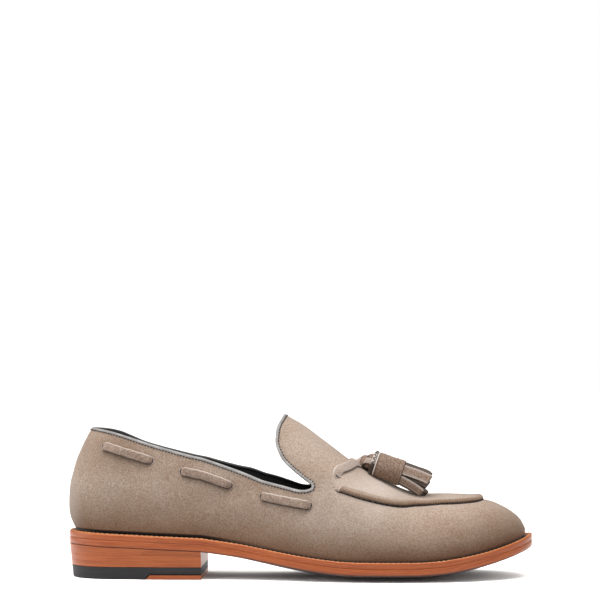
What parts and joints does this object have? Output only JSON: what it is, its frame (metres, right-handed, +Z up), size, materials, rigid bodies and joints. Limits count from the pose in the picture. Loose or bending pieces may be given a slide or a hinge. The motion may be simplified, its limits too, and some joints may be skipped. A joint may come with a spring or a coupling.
{
  "type": "tassel loafer",
  "caption": "Men's suede tassel loafer for the right foot, low collar threaded with a flat thong, raised apron, leather sole and stacked heel.",
  "frame": {"origin": "on the floor, under the middle of the sole's length and breadth", "axes": "+X from heel to toe, +Y to the shoe's inner side, +Z up"},
  "size_m": [0.3003, 0.1046, 0.1053],
  "materials": {
    "suede": "taupe suede, napped and matt",
    "sole_leather": "tan sole leather, edges stained and waxed",
    "heel_rubber": "black rubber, matt",
    "binding_leather": "grey smooth leather, soft sheen",
    "lining_leather": "black lining leather, matt"
  },
  "bodies": {
    "root": {"outsole": "sole_leather", "welt": "sole_leather", "heel_wedge": "sole_leather", "heel_lift_1": "sole_leather", "heel_lift_2": "sole_leather", "top_lift_rubber": "heel_rubber", "top_lift_leather": "sole_leather", "upper": "suede", "topline_binding": "binding_leather", "insole": "lining_leather", "collar_lace_lateral_1": "suede", "collar_lace_lateral_2": "suede", "collar_lace_lateral_3": "suede", "collar_lace_medial_1": "suede", "collar_lace_medial_2": "suede", "collar_lace_medial_3": "suede", "lace_end_lateral": "suede", "lace_end_medial": "suede", "knot": "suede", "tassel_cap_lateral": "suede", "tassel_cap_medial": "suede", "tassel_fringe_lateral": "suede", "tassel_fringe_medial": "suede"}
  },
  "joints": []
}
